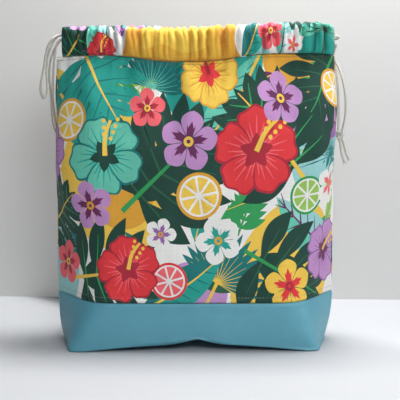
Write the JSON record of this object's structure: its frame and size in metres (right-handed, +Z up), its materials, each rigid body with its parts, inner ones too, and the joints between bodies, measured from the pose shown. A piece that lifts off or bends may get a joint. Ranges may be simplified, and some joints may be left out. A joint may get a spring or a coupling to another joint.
{
  "type": "drawstring pouch",
  "caption": "Boxed-bottom drawstring pouch of printed cotton on a smooth vinyl base, with a gathered casing along its mouth and cords that pull from opposite sides.",
  "frame": {"origin": "on the surface the pouch stands on, under the middle of its base", "axes": "+Z up from the base to the mouth, -Y out of the front panel, +X to the right of someone looking at the front"},
  "size_m": [0.2743, 0.1012, 0.2852],
  "materials": {
    "print_cotton": "printed cotton, plain weave, matt, in greens, teal, yellow, red, lilac and off-white",
    "vinyl": "smooth imitation leather, dusty teal blue, soft satin",
    "lining_cotton": "plain unprinted cotton, matt",
    "cord": "thin twisted cord, grey linen colour, matt"
  },
  "bodies": {
    "root": {"front_panel": "print_cotton", "back_panel": "print_cotton", "base": "vinyl", "front_casing": "print_cotton", "back_casing": "print_cotton", "lining": "lining_cotton", "drawcord_left": "cord", "drawcord_right": "cord"}
  },
  "joints": []
}
